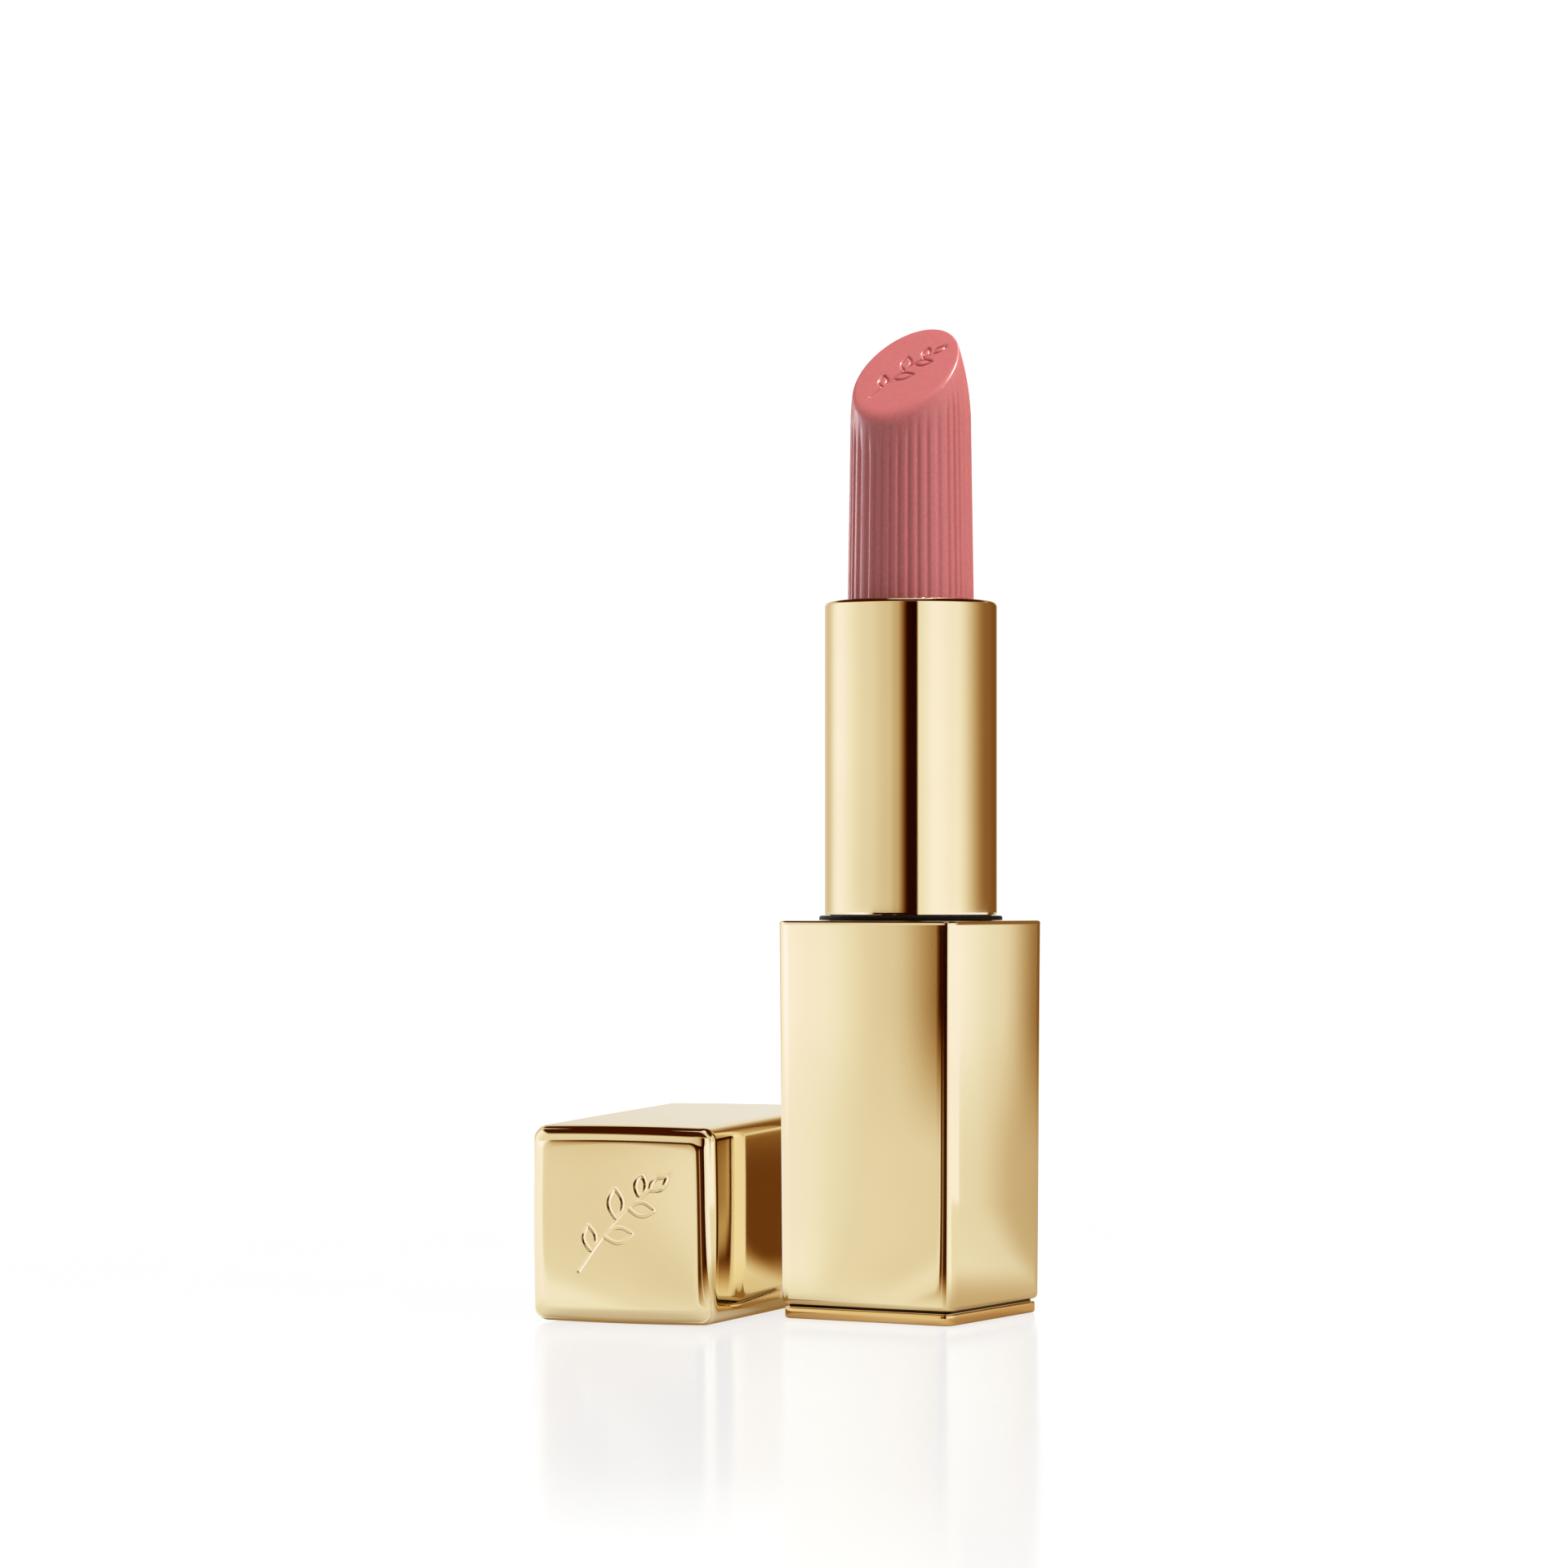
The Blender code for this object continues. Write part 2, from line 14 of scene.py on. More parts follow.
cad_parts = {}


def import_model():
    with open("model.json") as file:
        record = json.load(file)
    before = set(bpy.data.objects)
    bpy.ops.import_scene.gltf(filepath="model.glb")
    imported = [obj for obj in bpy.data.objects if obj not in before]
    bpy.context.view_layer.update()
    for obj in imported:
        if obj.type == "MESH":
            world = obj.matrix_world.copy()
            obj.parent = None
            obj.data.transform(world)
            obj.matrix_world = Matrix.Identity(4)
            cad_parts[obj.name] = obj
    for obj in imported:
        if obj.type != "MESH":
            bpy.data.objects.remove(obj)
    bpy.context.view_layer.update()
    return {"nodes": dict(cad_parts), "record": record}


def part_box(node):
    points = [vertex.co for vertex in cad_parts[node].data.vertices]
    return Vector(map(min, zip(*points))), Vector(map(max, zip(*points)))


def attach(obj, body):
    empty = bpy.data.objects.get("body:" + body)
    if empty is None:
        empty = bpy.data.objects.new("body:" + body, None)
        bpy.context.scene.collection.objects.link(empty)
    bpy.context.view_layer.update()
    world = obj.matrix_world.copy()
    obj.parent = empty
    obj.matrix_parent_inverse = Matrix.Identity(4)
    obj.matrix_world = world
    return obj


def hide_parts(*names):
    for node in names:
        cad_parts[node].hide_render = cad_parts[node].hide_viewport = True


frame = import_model()
MM = 0.001

# Camera: level, so that uprights stay upright, and aimed to the left of the case
CAMERA_TURN = math.radians(30)
CAMERA_DISTANCE = 460 * MM
CAMERA_LEFT = 12.8 * MM
CAMERA_HEIGHT = 42.2 * MM
CAMERA_LENS = 104.6
CAMERA_SENSOR = 36.0
CAMERA_SHIFT = 0.0719
CAMERA_RIGHT = Vector((math.cos(CAMERA_TURN), math.sin(CAMERA_TURN), 0))
CAMERA_AHEAD = Vector((-math.sin(CAMERA_TURN), math.cos(CAMERA_TURN), 0))

# Case and cap, beyond what the CAD boxes give
EDGE_ROUND = 1.4 * MM
CROWN = 0.07 * MM  # how far a polished flat stands out in its middle
FOOT_DRAFT = 0.23 * MM  # the base is this much narrower at its foot, each side
FOOT_FACE = 1.1 * MM  # height of the foot plate's top face
SHELL_WALL = 0.5 * MM
TOP_WALL = 0.7 * MM
SOCKET_RADIUS = 8.35 * MM
CAP_LENGTH = 35.5 * MM
CAP_DRAFT = 0.35 * MM
CAP_HALF = 10.15 * MM
CAP_WALL = 0.4 * MM
CAP_END_WALL = 0.6 * MM
CAP_END_ROUND = 1.6 * MM

# Bullet
BULLET_MIDDLE = 80 * MM  # its height when raised
BULLET_RADIUS = 6.38 * MM
BULLET_TAPER = 0.28 * MM
NOSE_START = 89.6 * MM
NOSE_ARC = 27.0 * MM
CUT_LOW = 90.2 * MM
FLUTES = 40
FLUTE_DEPTH = 0.19 * MM

# Points round a square outline
CORNER_STEPS = 10
SIDE_STEPS = 62
LEAST_CORNER = 0.03 * MM


# ---------------------------------------------------------------- camera


def add_camera():
    data = bpy.data.cameras.new("camera")
    data.lens = CAMERA_LENS
    data.sensor_width = CAMERA_SENSOR
    data.shift_y = CAMERA_SHIFT
    data.clip_start = 10 * MM
    camera = bpy.data.objects.new("camera", data)
    bpy.context.scene.collection.objects.link(camera)
    at = -CAMERA_AHEAD * CAMERA_DISTANCE - CAMERA_RIGHT * CAMERA_LEFT + Vector((0, 0, CAMERA_HEIGHT))
    camera.location = at
    camera.rotation_euler = (math.pi / 2, 0, CAMERA_TURN)
    bpy.context.scene.camera = camera


# ---------------------------------------------------------------- node helpers


class Nodes:
    """A short way to write a material's node tree."""

    def __init__(self, name):
        self.material = bpy.data.materials.new(name)
        self.material.use_nodes = True
        self.tree = self.material.node_tree
        self.shader = self.tree.nodes["Principled BSDF"]
        self.coordinates = self.tree.nodes.new("ShaderNodeTexCoord").outputs["Object"]

    def add(self, kind, **settings):
        node = self.tree.nodes.new("ShaderNode" + kind)
        for key, value in settings.items():
            setattr(node, key, value)
        return node

    def link(self, source, target):
        self.tree.links.new(source, target)

    def noise(self, scale, detail=2.0, stretch=(1, 1, 1), rough=0.5):
        """Noise over the object, 0 to 1. A small stretch value draws it out along that axis."""
        mapping = self.add("Mapping")
        mapping.inputs["Scale"].default_value = stretch
        self.link(self.coordinates, mapping.inputs["Vector"])
        noise = self.add("TexNoise")
        noise.inputs["Scale"].default_value = scale
        noise.inputs["Detail"].default_value = detail
        noise.inputs["Roughness"].default_value = rough
        self.link(mapping.outputs["Vector"], noise.inputs["Vector"])
        return noise.outputs["Fac"]

    def spread(self, value, low, high, from_low=0.3, from_high=0.7):
        """The value's middle range, mapped to low..high."""
        node = self.add("MapRange")
        node.inputs["From Min"].default_value = from_low
        node.inputs["From Max"].default_value = from_high
        node.inputs["To Min"].default_value = low
        node.inputs["To Max"].default_value = high
        self.link(value, node.inputs["Value"])
        return node.outputs["Result"]

    def ramp(self, value, *stops):
        """The colour for a value, from (position, colour) stops."""
        node = self.add("ValToRGB")
        elements = node.color_ramp.elements
        while len(elements) < len(stops):
            elements.new(0.5)
        for element, (position, colour) in zip(elements, stops):
            element.position = position
            element.color = (*colour, 1)
        self.link(value, node.inputs["Fac"])
        return node.outputs["Color"]

    def bump(self, height, distance, under=None):
        """A bumped normal, laid over the one under it if there is one."""
        node = self.add("Bump")
        node.inputs["Distance"].default_value = distance
        node.inputs["Strength"].default_value = 1.0
        self.link(height, node.inputs["Height"])
        if under is not None:
            self.link(under, node.inputs["Normal"])
        return node.outputs["Normal"]

    def blend(self, share, first, second):
        """A mix of two shaders: the first where the share is 0, and the second where it is 1."""
        mix = self.add("MixShader")
        self.link(share, mix.inputs["Fac"])
        self.link(first.outputs[0], mix.inputs[1])
        self.link(second.outputs[0], mix.inputs[2])
        return mix

    def finish(self, colour, roughness, normal, **values):
        """The material, with its links made and any uniform values set on their own sockets."""
        self.link(colour, self.shader.inputs["Base Color"])
        self.link(roughness, self.shader.inputs["Roughness"])
        self.link(normal, self.shader.inputs["Normal"])
        for socket, value in values.items():
            self.shader.inputs[socket.replace("_", " ")].default_value = value
        return self.material

    def finish_with(self, shader):
        """The material, with this shader in place of the usual one."""
        self.tree.nodes.remove(self.shader)
        self.link(shader.outputs[0], self.tree.nodes["Material Output"].inputs["Surface"])
        return self.material


def gold(name, dark=(0.92, 0.80, 0.505), light=(0.95, 0.83, 0.53), painted_shade_above=None):
    """Polished gold plate: fine grain, faint wipe marks and a little colour drift.

    Above a given height the metal is painted near-black: painted shade in the dark gap there.
    """
    n = Nodes(name)
    colour = n.ramp(n.noise(60, 2), (0.35, dark), (0.65, light))
    # Painted shade: the colour turns near-black above the given height, for the shadowed gap.
    if painted_shade_above is not None:
        place = n.add("SeparateXYZ")
        n.link(n.coordinates, place.inputs["Vector"])
        painted_shade = n.spread(place.outputs["Z"], 0, 1, painted_shade_above, painted_shade_above + 0.055 * MM)
        mix = n.add("Mix", data_type="RGBA")
        mix.inputs["B"].default_value = (0.012, 0.008, 0.005, 1)
        n.link(painted_shade, mix.inputs["Factor"])
        n.link(colour, mix.inputs["A"])
        colour = mix.outputs["Result"]
    wipes = n.noise(500, 4, stretch=(1, 1, 0.12))
    grain = n.bump(n.noise(9000, 2), 0.0006 * MM)
    waves = n.bump(n.noise(130, 1), 0.0025 * MM, under=grain)
    return n.finish(colour, n.spread(wipes, 0.028, 0.058), waves, Metallic=1.0)


def foot_gold():
    """Warmer gold for a painted warm reflection. The plug in the joint above the foot is painted shade,
    near-black.
    """
    return gold("gold_foot", (0.88, 0.60, 0.24), (0.90, 0.64, 0.28), painted_shade_above=FOOT_FACE + 0.005 * MM)


def dark_lacquer():
    """Near-black lacquer with almost no shine."""
    n = Nodes("collar_lacquer")
    speckle = n.noise(4000, 3)
    colour = n.ramp(speckle, (0.3, (0.006, 0.004, 0.003)), (0.7, (0.012, 0.008, 0.006)))
    normal = n.bump(speckle, 0.001 * MM)
    return n.finish(colour, n.spread(n.noise(900), 0.3, 0.4), normal, Specular_IOR_Level=0.06)


def moulded_plastic(name, dark, light, roughness):
    """Satin injection-moulded plastic: fine spark texture over soft sink marks."""
    n = Nodes(name)
    colour = n.ramp(n.noise(300, 3), (0.3, dark), (0.7, light))
    spark = n.bump(n.noise(7000, 3, rough=0.6), 0.004 * MM)
    sink = n.bump(n.noise(200, 1), 0.01 * MM, under=spark)
    return n.finish(colour, n.spread(n.noise(1500, 2), roughness - 0.05, roughness + 0.06), sink)


def bare_steel():
    """Cold-rolled sheet with its rolling streaks."""
    n = Nodes("pressed_steel")
    streaks = n.noise(1500, 3, stretch=(1, 0.05, 1))
    colour = n.ramp(streaks, (0.3, (0.46, 0.46, 0.47)), (0.7, (0.60, 0.60, 0.60)))
    normal = n.bump(streaks, 0.004 * MM)
    return n.finish(colour, n.spread(streaks, 0.28, 0.42), normal, Metallic=1.0)


def nickel():
    """The magnets' bright plating, unevenly dulled."""
    n = Nodes("nickel_plate")
    colour = n.ramp(n.noise(900, 3), (0.3, (0.62, 0.60, 0.56)), (0.7, (0.74, 0.72, 0.68)))
    normal = n.bump(n.noise(5000, 3), 0.002 * MM)
    return n.finish(colour, n.spread(n.noise(1800, 3), 0.14, 0.3), normal, Metallic=1.0)


def silicone():
    """Cloudy pale rubber."""
    n = Nodes("silicone_rubber")
    colour = n.ramp(n.noise(800, 2), (0.3, (0.56, 0.56, 0.54)), (0.7, (0.66, 0.66, 0.64)))
    normal = n.bump(n.noise(6000, 2), 0.003 * MM)
    return n.finish(
        colour, n.spread(n.noise(2500), 0.5, 0.65), normal,
        Subsurface_Weight=0.2, Subsurface_Radius=(0.6 * MM, 0.6 * MM, 0.6 * MM), Subsurface_Scale=1.0,
    )


def paper():
    """The blank label's fibres."""
    n = Nodes("label_paper")
    fibres = n.noise(2500, 4, stretch=(1, 3, 1), rough=0.65)
    colour = n.ramp(fibres, (0.3, (0.74, 0.70, 0.61)), (0.7, (0.83, 0.80, 0.72)))
    return n.finish(colour, n.spread(fibres, 0.7, 0.85), n.bump(fibres, 0.006 * MM))


def lipstick_wax():
    """Pink satin wax: pigment specks, a soft bloom and light that carries through the thin edges."""
    n = Nodes("lipstick_wax")
    pigment = n.noise(2600, 4, rough=0.6)
    colour = n.ramp(pigment, (0.3, (0.64, 0.172, 0.170)), (0.7, (0.71, 0.200, 0.197)))
    skin = n.bump(n.noise(3800, 3), 0.003 * MM)
    drawn = n.bump(n.noise(900, 2, stretch=(1, 1, 0.15)), 0.006 * MM, under=skin)
    return n.finish(
        colour, n.spread(n.noise(700, 3), 0.28, 0.36), drawn, Specular_IOR_Level=0.45,
        Subsurface_Weight=0.2, Subsurface_Radius=(0.5 * MM, 0.18 * MM, 0.15 * MM), Subsurface_Scale=1.0,
    )


# ---------------------------------------------------------------- mesh helpers


def add_piece(name, points, faces, material, body, replaced, smooth_angle=32):
    """A piece of the object: its mesh, finish, CAD body and the CAD nodes that it stands for."""
    mesh = bpy.data.meshes.new(name)
    mesh.from_pydata([tuple(map(float, p)) for p in points], [], faces)
    mesh.validate()
    mesh.update()
    mesh.materials.append(material)
    mesh.shade_smooth()
    mesh.set_sharp_from_angle(angle=math.radians(smooth_angle))
    piece = bpy.data.objects.new(name, mesh)
    bpy.context.scene.collection.objects.link(piece)
    normals = piece.modifiers.new("normals", "WEIGHTED_NORMAL")
    normals.keep_sharp = True
    normals.weight = 80
    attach(piece, body)
    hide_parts(*replaced)
    return piece


def skin_rings(rings, closed=False, fill_first=False, fill_last=False):
    """Points and quads of rings joined in order. A fill closes an end with a fan round its middle."""
    count = len(rings[0])
    points = np.concatenate([np.asarray(ring, float) for ring in rings])
    faces = []
    pairs = [(i, i + 1) for i in range(len(rings) - 1)]
    if closed:
        pairs.append((len(rings) - 1, 0))
    for low, high in pairs:
        for i in range(count):
            j = (i + 1) % count
            faces.append((low * count + i, low * count + j, high * count + j, high * count + i))
    middles = []
    if fill_first:
        tip = len(points)
        middles.append(np.mean(rings[0], axis=0))
        faces += [(tip, (i + 1) % count, i) for i in range(count)]
    if fill_last:
        tip = len(points) + len(middles)
        start = (len(rings) - 1) * count
        middles.append(np.mean(rings[-1], axis=0))
        faces += [(tip, start + i, start + (i + 1) % count) for i in range(count)]
    if middles:
        points = np.concatenate([points, np.array(middles)])
    return points, faces


def square_outline(half, corner, crown=0.0):
    """A square with rounded corners and slightly crowned sides, counter-clockwise from the +X side."""
    corner = max(corner, LEAST_CORNER)
    reach = half - crown - corner
    quarter = []
    edge_angle = math.atan2(reach, half)
    for i in range(SIDE_STEPS):
        along = half * math.tan(-edge_angle + 2 * edge_angle * i / (SIDE_STEPS - 1))
        quarter.append((half - crown * (along / reach) ** 2, along))
    for i in range(1, CORNER_STEPS + 1):
        angle = math.pi / 2 * i / (CORNER_STEPS + 1)
        quarter.append((reach + corner * math.cos(angle), reach + corner * math.sin(angle)))
    quarter = np.array(quarter)
    outline = []
    for k in range(4):
        c, s = math.cos(k * math.pi / 2), math.sin(k * math.pi / 2)
        outline.append(quarter @ np.array([[c, s], [-s, c]]))
    return np.concatenate(outline)


def at_height(outline, height):
    return np.column_stack([outline, np.full(len(outline), height)])


def circle_like(outline, radius):
    """A circle whose points lie at the outline's own angles, so that the two join cleanly."""
    return outline / np.linalg.norm(outline, axis=1)[:, None] * radius


def rounded_stack(edge, steps=8):
    """(inset, drop) pairs of a rounded edge, from the flat end face's rim to the wall."""
    angles = [math.pi / 2 * i / steps for i in range(steps + 1)]
    return [(edge * (1 - math.sin(a)), edge * (1 - math.cos(a))) for a in angles]


def turned(name, profile, material, body, replaced, sides):
    """A turned piece from (radius, height) points, which run round its section counter-clockwise."""
    angles = np.arange(sides) * math.tau / sides
    unit = np.column_stack([np.cos(angles), np.sin(angles)])
    points, faces = skin_rings([at_height(unit * r, z) for r, z in profile], closed=True)
    return add_piece(name, points, faces, material, body, replaced)


def arc(centre_r, centre_z, radius, start, end, steps):
    """(radius, height) points of an arc from one angle to the other, in degrees."""
    angles = [math.radians(start + (end - start) * i / steps) for i in range(steps + 1)]
    return [(centre_r + radius * math.cos(a), centre_z + radius * math.sin(a)) for a in angles]


# ---------------------------------------------------------------- ornament


def sprig_lines():
    """A plain sprig in a unit square: a bent stem, and leaves drawn as pairs of arcs."""

    def stem(t):
        return np.array([-0.42 + 0.84 * t, -0.44 + 0.86 * t + 0.10 * math.sin(math.pi * t)])

    lines = [np.array([stem(t) for t in np.linspace(0, 0.86, 40)])]
    # Each leaf's place along the stem, its side and its length
    leaves = [
        (0.16, 1, 0.26), (0.30, -1, 0.30), (0.46, 1, 0.30),
        (0.60, -1, 0.27), (0.74, 1, 0.22), (0.86, 0, 0.22),
    ]
    for place, side, length in leaves:
        root = stem(place)
        ahead = stem(place + 0.01) - root
        heading = math.atan2(ahead[1], ahead[0]) + side * math.radians(46)
        along = np.array([math.cos(heading), math.sin(heading)])
        across = np.array([-along[1], along[0]])
        t = np.linspace(0, 1, 24)[:, None]
        belly = np.sin(math.pi * t) * length * 0.24
        for flank in (-1, 1):
            lines.append(root + along * length * t + across * belly * flank)
    return lines


def dense_points(lines, gap=0.012):
    """Points along the lines, no further apart than the gap."""
    points = []
    for line in lines:
        for a, b in zip(line, line[1:]):
            steps = max(1, int(np.linalg.norm(b - a) / gap) + 1)
            points += [a + (b - a) * k / steps for k in range(steps)]
    return np.array(points)


def engraved(across, up, size, depth, width):
    """How far the engraved sprig sinks below the face at each (across, up)."""
    marks = dense_points(sprig_lines()) * size
    sunk = np.zeros(len(across))
    near = np.flatnonzero(np.hypot(across, up) < 0.72 * size)
    for part in np.array_split(near, max(1, len(near) // 2000)):
        gap = np.hypot(across[part, None] - marks[:, 0], up[part, None] - marks[:, 1]).min(axis=1)
        sunk[part] = depth * np.exp(-((gap / width) ** 2))
    return sunk


# ---------------------------------------------------------------- base


def base_shell(material):
    """The square gold outer of the base: tapered, hollow, and open for the mechanism."""
    low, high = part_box("base_shell")
    top_half = high.x
    edge, foot_edge, socket_edge = 0.3 * MM, 0.5 * MM, 0.12 * MM

    def half(z):
        return top_half - FOOT_DRAFT * (high.z - z) / (high.z - low.z)

    def ring(z, inset=0.0):
        return at_height(square_outline(half(z) - inset, EDGE_ROUND - inset, CROWN), z)

    outline = square_outline(top_half, EDGE_ROUND, CROWN)
    rings = []
    for r, z in arc(SOCKET_RADIUS + socket_edge, high.z - socket_edge, socket_edge, 180, 90, 4):
        rings.append(at_height(circle_like(outline, r), z))
    rings.append(at_height(circle_like(outline, 9.4 * MM), high.z))
    rings += [ring(high.z - drop, inset) for inset, drop in rounded_stack(edge)]
    walls = np.linspace(high.z - edge - 0.1 * MM, low.z + foot_edge + 0.1 * MM, 24)
    rings += [ring(z) for z in walls]
    rings += [ring(low.z + drop, inset) for inset, drop in reversed(rounded_stack(foot_edge))]
    under = high.z - TOP_WALL
    for z in (low.z, under):
        inner = half(z) - SHELL_WALL
        rings.append(at_height(square_outline(inner, EDGE_ROUND - SHELL_WALL, CROWN), z))
    rings.append(at_height(circle_like(outline, SOCKET_RADIUS), under))
    points, faces = skin_rings([ring[::-1] for ring in rings], closed=True)
    add_piece("gold_base", points, faces, material, "base", ["base_shell"])


def base_plate(material):
    """The square foot, with a plug up into the shell and a recess below for the label."""
    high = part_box("base_plate")[1]
    half = high.x
    low_edge, high_edge, corner = 0.28 * MM, 0.15 * MM, 1.2 * MM
    outline = square_outline(half, corner)
    label_recess, label_depth = 6.15 * MM, 0.3 * MM

    def ring(z, inset=0.0):
        return at_height(square_outline(half - inset, corner - inset), z)

    plug = square_outline(9.1 * MM, 0.5 * MM)
    rings = [at_height(plug, high.z), at_height(plug, FOOT_FACE)]
    rings += [ring(FOOT_FACE - drop, inset) for inset, drop in rounded_stack(high_edge, 5)]
    rings += [ring(drop, inset) for inset, drop in reversed(rounded_stack(low_edge, 6))]
    rings += [at_height(circle_like(outline, label_recess), z) for z in (0.0, label_depth)]
    points, faces = skin_rings([ring[::-1] for ring in rings], fill_first=True, fill_last=True)
    add_piece("gold_foot_plate", points, faces, material, "base", ["base_plate"])


def collar(material):
    """The dark ring between the base and the sleeve."""
    low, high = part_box("collar_ring")
    outer, edge, foot = high.x, 0.24 * MM, 0.05 * MM
    inner = SOCKET_RADIUS - 0.14 * MM
    profile = arc(outer - edge, high.z - edge, edge, 90, 0, 8)
    profile += arc(outer - foot, low.z + foot, foot, 0, -90, 3)
    profile += [(inner, low.z), (inner, high.z - 0.04 * MM), (inner + 0.04 * MM, high.z)]
    turned("dark_collar", profile[::-1], material, "base", ["collar_ring"], sides=256)


# ---------------------------------------------------------------- sleeve and bullet


def sleeve(material):
    """The round gold sleeve, with a lip turned in at its top."""
    low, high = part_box("sleeve_shell")
    outer = high.x
    wall, lip, edge, foot = 0.4 * MM, 0.45 * MM, 0.5 * MM, 0.05 * MM
    lip_inner, lip_edge = BULLET_RADIUS + 0.55 * MM, 0.15 * MM
    profile = arc(lip_inner + lip_edge, high.z - lip_edge, lip_edge, 180, 90, 4)
    profile += arc(outer - edge, high.z - edge, edge, 90, 0, 10)
    profile += [(outer, high.z - edge - 0.2 * MM)]
    profile += [(outer, z) for z in np.linspace(high.z - 3 * MM, low.z + 3 * MM, 8)]
    profile += [(outer, low.z + foot + 0.2 * MM)]
    profile += arc(outer - foot, low.z + foot, foot, 0, -90, 5)
    profile += [(outer - wall, low.z), (outer - wall, high.z - lip), (lip_inner, high.z - lip)]
    turned("gold_sleeve", profile[::-1], material, "sleeve", ["sleeve_shell"], sides=320)


def bullet_radius(z, shoulder):
    """The bullet's radius before its flutes: a slight taper, then a nose that curves in."""
    share = np.clip((z - shoulder) / (NOSE_START - shoulder), 0, 1)
    rise = np.maximum(0, z - NOSE_START)
    return BULLET_RADIUS - BULLET_TAPER * share - (NOSE_ARC - np.sqrt(NOSE_ARC**2 - rise**2))


def smoothstep(value):
    """An eased 0 to 1, flat outside that range."""
    value = np.clip(value, 0, 1)
    return value * value * (3 - 2 * value)


def groove_depths(angles):
    """How deep the moulded flutes are at each angle, 0 to 1. They differ a little in width and depth."""
    turns = FLUTES * angles + 1.3 * np.sin(5 * angles + 0.7) + 0.6 * np.sin(9 * angles + 2.0)
    flute = np.floor(turns / math.tau + 0.5) % FLUTES
    return (0.5 + 0.5 * np.cos(turns)) ** 2.2 * (0.82 + 0.18 * np.sin(7.3 * flute))


def cut_rings(rim, middle, slope):
    """Rings of the slanted cut, from its rim to its middle, with the sprig engraved in them."""
    tilt = math.atan(slope)
    up_face = np.array([0, math.cos(tilt), math.sin(tilt)])
    outward = np.array([0, -math.sin(tilt), math.cos(tilt)])
    turn = math.radians(-8)
    plain, carved = 0.24, 0.985  # the sprig lies between these shares of the way in
    rings = []
    for share in np.concatenate([np.linspace(0, plain, 6)[:-1], np.linspace(plain, carved, 66)]):
        ring = rim + (middle - rim) * share
        across, up = ring[:, 0], (ring - middle) @ up_face
        x = across * math.cos(turn) - up * math.sin(turn)
        y = across * math.sin(turn) + up * math.cos(turn)
        sunk = engraved(x, y, size=7.4 * MM, depth=0.3 * MM, width=0.11 * MM)
        rings.append(ring - outward * sunk[:, None])
    return rings


def bullet(material):
    """The wax bullet: a fluted shank whose flutes die out below a slanted cut with an engraved sprig."""
    low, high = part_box("bullet")
    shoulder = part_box("cup")[1].z + 0.1 * MM
    foot = 5.9 * MM
    sides, shank_rings, edge_steps = 800, 40, 7
    angles = np.arange(sides) * math.tau / sides
    c, s = np.cos(angles), np.sin(angles)

    # The cut's height at each side, found step by step because the nose narrows as it rises
    low_y, high_y = -bullet_radius(CUT_LOW, shoulder), bullet_radius(high.z, shoulder)
    slope = (high.z - CUT_LOW) / (high_y - low_y)
    cut = np.full(sides, CUT_LOW)
    for _ in range(30):
        cut = CUT_LOW + slope * (bullet_radius(cut, shoulder) * s - low_y)

    toward_low = ((1 - s) / 2) ** 4
    edge = (0.22 + 0.75 * toward_low) * MM  # the cut's rim is soft at its low end and crisp elsewhere
    groove = FLUTE_DEPTH * groove_depths(angles)

    def side(z):
        fade = smoothstep((cut - z - 0.5 * MM) / (3.2 * MM + 1.5 * MM * toward_low))
        r = bullet_radius(z, shoulder) - groove * fade
        return np.column_stack([r * c, r * s, z])

    circle = np.column_stack([c, s]) * foot
    rings = [at_height(circle, low.z + 0.3 * MM), at_height(circle, shoulder)]
    top = cut - edge
    start = shoulder + 0.02 * MM
    for k in range(shank_rings + 1):
        rings.append(side(start + (top - start) * (k / shank_rings) ** 0.8))
    under = rings[-1]

    r_cut = bullet_radius(cut, shoulder)
    corner = np.column_stack([r_cut * c, r_cut * s, cut])
    middle = np.array([0, (low_y + high_y) / 2, (CUT_LOW + high.z) / 2])
    inward = middle - corner
    rim = corner + inward / np.linalg.norm(inward, axis=1)[:, None] * edge[:, None]
    for k in range(1, edge_steps):
        t = k / edge_steps
        rings.append((1 - t) ** 2 * under + 2 * t * (1 - t) * corner + t**2 * rim)
    rings += cut_rings(rim, middle, slope)
    points, faces = skin_rings(rings, fill_first=True, fill_last=True)
    add_piece("lipstick_bullet", points, faces, material, "cup", ["bullet"], smooth_angle=60)


# ---------------------------------------------------------------- cap


def in_cap(points):
    """Points given from the cap's mouth, with its closed end along +Z, moved to where the cap lies."""
    mount = next(m for m in frame["record"]["mounts"] if m["name"] == "cap_end_face")
    along = Vector(mount["axis"]).normalized()
    sideways = Vector((-along.y, along.x, 0)).normalized()
    up = along.cross(sideways)
    turn = Matrix((sideways, up, along)).transposed()
    mouth = Vector(mount["pos_m"]) - along * CAP_LENGTH
    return np.asarray(points) @ np.array(turn).T + np.array(mouth)


def cap_half(z):
    return CAP_HALF - CAP_DRAFT * z / CAP_LENGTH


def cap_crown(z):
    """The cap's flats swell more toward its closed end."""
    return CROWN * (0.6 + 1.0 * (z / CAP_LENGTH) ** 3)


